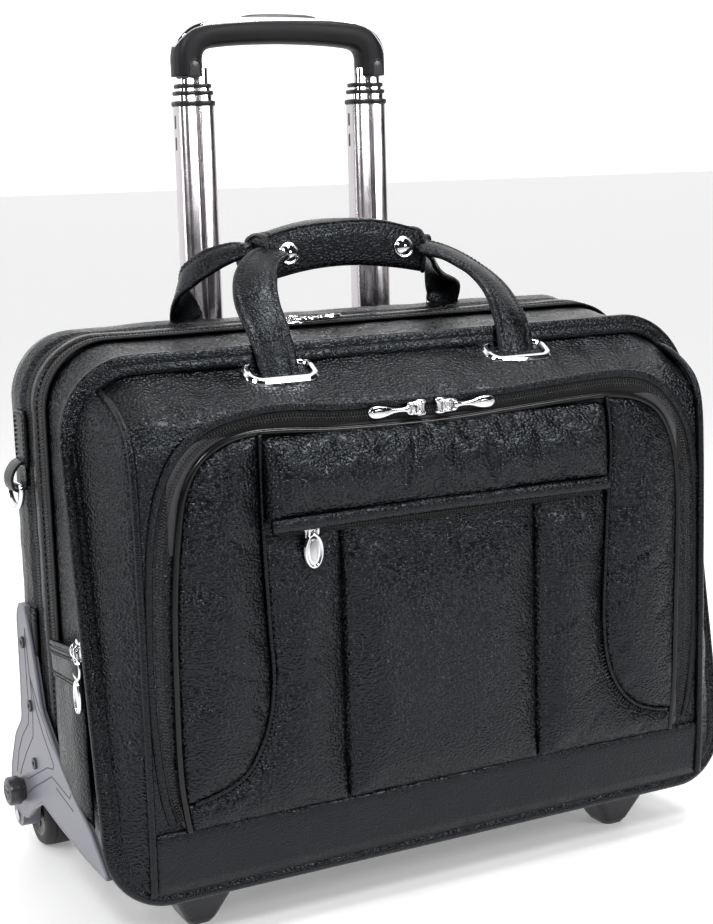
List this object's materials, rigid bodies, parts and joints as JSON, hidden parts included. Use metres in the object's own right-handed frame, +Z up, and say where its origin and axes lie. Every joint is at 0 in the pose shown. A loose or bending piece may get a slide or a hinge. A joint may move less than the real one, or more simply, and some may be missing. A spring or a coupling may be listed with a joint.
{
  "type": "rolling laptop case",
  "caption": "Soft leather laptop case on two wheels with a four-stage telescopic trolley, side guards, twin carry handles, two zipped compartments and a fold-down front pocket.",
  "frame": {"origin": "bottom centre of the case as it stands on its wheels and front feet", "axes": "+Z up, -Y towards the front pocket, +X to the right when facing the front"},
  "size_m": [0.436, 0.2346, 0.527],
  "materials": {
    "black_leather": "pebbled",
    "lining_fabric": "woven",
    "zip_black": "satin",
    "board": "satin",
    "guard_grey": "satin",
    "black_plastic": "satin",
    "rubber_black": "matte",
    "chrome": "polished",
    "steel": "satin",
    "tube_metal": "satin"
  },
  "bodies": {
    "frame_body": {"rear_shell": "black_leather", "laptop_sleeve": "lining_fabric", "back_board": "board", "base_tray": "board", "side_guard_left": "guard_grey", "side_guard_right": "guard_grey", "guard_screws": "steel", "wheel_axles": "steel", "front_foot_left": "black_plastic", "front_foot_right": "black_plastic", "trolley_base_tubes": "tube_metal", "trolley_base_collars": "black_plastic", "tube_brackets": "black_plastic", "trolley_cover": "black_leather", "rear_handle": "black_leather", "ring_tabs": "chrome"},
    "divider": {"divider_band": "black_leather", "divider_board": "lining_fabric", "rear_zip": "zip_black"},
    "front_section": {"front_shell": "black_leather", "pocket_lining": "lining_fabric", "organizer": "lining_fabric", "welt": "black_leather", "pocket_rim": "zip_black", "side_pockets": "black_leather", "file_dividers": "lining_fabric", "front_zip": "zip_black", "front_grommets": "chrome", "side_sliders": "chrome"},
    "front_handle": {"front_straps": "black_leather", "handle_wrap": "black_leather", "handle_snaps": "chrome"},
    "pocket_door": {"pocket_panel": "black_leather", "pocket_flap": "black_leather"},
    "pocket_slider_l": {"pocket_slider_left": "chrome"},
    "pocket_pull_l": {"pocket_pull_left": "chrome"},
    "pocket_slider_r": {"pocket_slider_right": "chrome"},
    "pocket_pull_r": {"pocket_pull_right": "chrome"},
    "flap_slider_body": {"flap_slider": "chrome"},
    "flap_pull_body": {"flap_pull": "chrome"},
    "top_slider_body": {"top_slider": "chrome"},
    "top_pull_body": {"top_pull": "chrome"},
    "side_pull_l": {"side_pull_left": "chrome"},
    "side_pull_r": {"side_pull_right": "chrome"},
    "strap_ring_l": {"strap_ring_left": "chrome"},
    "strap_ring_r": {"strap_ring_right": "chrome"},
    "wheel_l": {"wheel_tyre_left": "rubber_black", "wheel_hub_left": "black_plastic"},
    "wheel_r": {"wheel_tyre_right": "rubber_black", "wheel_hub_right": "black_plastic"},
    "knob_l": {"release_knob_left": "black_plastic"},
    "knob_r": {"release_knob_right": "black_plastic"},
    "stage1": {"trolley_stage1_tubes": "tube_metal", "trolley_stage1_collars": "black_plastic"},
    "stage2": {"trolley_stage2_tubes": "tube_metal"},
    "stage3": {"trolley_stage3_tubes": "tube_metal"},
    "grip": {"trolley_stage4_tubes": "tube_metal", "trolley_grip": "black_plastic", "grip_inlay": "chrome"},
    "button": {"grip_button": "black_plastic"}
  },
  "joints": [
    {"name": "rear_compartment_open", "type": "hinge", "parent": "frame_body", "child": "divider", "pos_m": [0, -0.10325, 0.036], "axis": [1, 0, 0], "range_deg": [0, 12]},
    {"name": "front_compartment_open", "type": "hinge", "parent": "divider", "child": "front_section", "pos_m": [0, -0.10325, 0.036], "axis": [1, 0, 0], "range_deg": [0, 22]},
    {"name": "front_handle_fold", "type": "hinge", "parent": "front_section", "child": "front_handle", "pos_m": [0, -0.06425, 0.319], "axis": [1, 0, 0], "range_deg": [0, 90]},
    {"name": "pocket_door_open", "type": "hinge", "parent": "front_section", "child": "pocket_door", "pos_m": [0, -0.10925, 0.075], "axis": [1, 0, 0], "range_deg": [0, 92]},
    {"name": "pocket_zip_left", "type": "slide", "parent": "pocket_door", "child": "pocket_slider_l", "axis": [-1, 0, 0], "range_m": [0, 0.12]},
    {"name": "pocket_zip_right", "type": "slide", "parent": "pocket_door", "child": "pocket_slider_r", "axis": [1, 0, 0], "range_m": [0, 0.13]},
    {"name": "pocket_pull_left_swing", "type": "hinge", "parent": "pocket_slider_l", "child": "pocket_pull_l", "pos_m": [-0.017, -0.11295, 0.293], "axis": [0, 0, 1], "range_deg": [0, 120]},
    {"name": "pocket_pull_right_swing", "type": "hinge", "parent": "pocket_slider_r", "child": "pocket_pull_r", "pos_m": [0.0015, -0.11295, 0.293], "axis": [0, 0, -1], "range_deg": [0, 120]},
    {"name": "flap_zip", "type": "slide", "parent": "pocket_door", "child": "flap_slider_body", "axis": [1, 0, 0], "range_m": [0, 0.18]},
    {"name": "flap_pull_swing", "type": "hinge", "parent": "flap_slider_body", "child": "flap_pull_body", "pos_m": [-0.087, -0.11295, 0.233], "axis": [1, 0, 0], "range_deg": [-90, 0]},
    {"name": "top_zip", "type": "slide", "parent": "front_section", "child": "top_slider_body", "axis": [1, 0, 0], "range_m": [-0.08, 0.15]},
    {"name": "top_pull_swing", "type": "hinge", "parent": "top_slider_body", "child": "top_pull_body", "pos_m": [-0.04, 0.00025, 0.3377], "axis": [0, -1, 0], "range_deg": [0, 160]},
    {"name": "side_pull_left_swing", "type": "hinge", "parent": "front_section", "child": "side_pull_l", "pos_m": [-0.2067, -0.05325, 0.168], "axis": [0, 1, 0], "range_deg": [0, 110]},
    {"name": "side_pull_right_swing", "type": "hinge", "parent": "front_section", "child": "side_pull_r", "pos_m": [0.2067, -0.05325, 0.168], "axis": [0, -1, 0], "range_deg": [0, 110]},
    {"name": "strap_ring_left_swing", "type": "hinge", "parent": "frame_body", "child": "strap_ring_l", "pos_m": [-0.2095, 0.03525, 0.25], "axis": [0, 1, 0], "range_deg": [0, 85]},
    {"name": "strap_ring_right_swing", "type": "hinge", "parent": "frame_body", "child": "strap_ring_r", "pos_m": [0.2095, 0.03525, 0.25], "axis": [0, -1, 0], "range_deg": [0, 85]},
    {"name": "wheel_left_spin", "type": "hinge", "parent": "frame_body", "child": "wheel_l", "pos_m": [-0.18, 0.09475, 0.0225], "axis": [1, 0, 0], "continuous": true},
    {"name": "wheel_right_spin", "type": "hinge", "parent": "frame_body", "child": "wheel_r", "pos_m": [0.18, 0.09475, 0.0225], "axis": [1, 0, 0], "continuous": true},
    {"name": "release_knob_left_pull", "type": "slide", "parent": "frame_body", "child": "knob_l", "axis": [-1, 0, 0], "range_m": [0, 0.006], "stiffness_N_per_m": 800, "springref_m": -0.002},
    {"name": "release_knob_right_pull", "type": "slide", "parent": "frame_body", "child": "knob_r", "axis": [1, 0, 0], "range_m": [0, 0.006], "stiffness_N_per_m": 800, "springref_m": -0.002},
    {"name": "trolley_stage1_slide", "type": "slide", "parent": "frame_body", "child": "stage1", "axis": [0, 0, 1], "range_m": [-0.135, 0.06]},
    {"name": "trolley_stage2_slide", "type": "slide", "parent": "stage1", "child": "stage2", "axis": [0, 0, 1], "range_m": [0, 0.143]},
    {"name": "trolley_stage3_slide", "type": "slide", "parent": "stage2", "child": "stage3", "axis": [0, 0, 1], "range_m": [0, 0.143]},
    {"name": "trolley_grip_slide", "type": "slide", "parent": "stage3", "child": "grip", "axis": [0, 0, 1], "range_m": [0, 0.143]},
    {"name": "grip_button_press", "type": "slide", "parent": "grip", "child": "button", "axis": [0, 0, -1], "range_m": [0, 0.003], "stiffness_N_per_m": 900, "springref_m": -0.001}
  ]
}
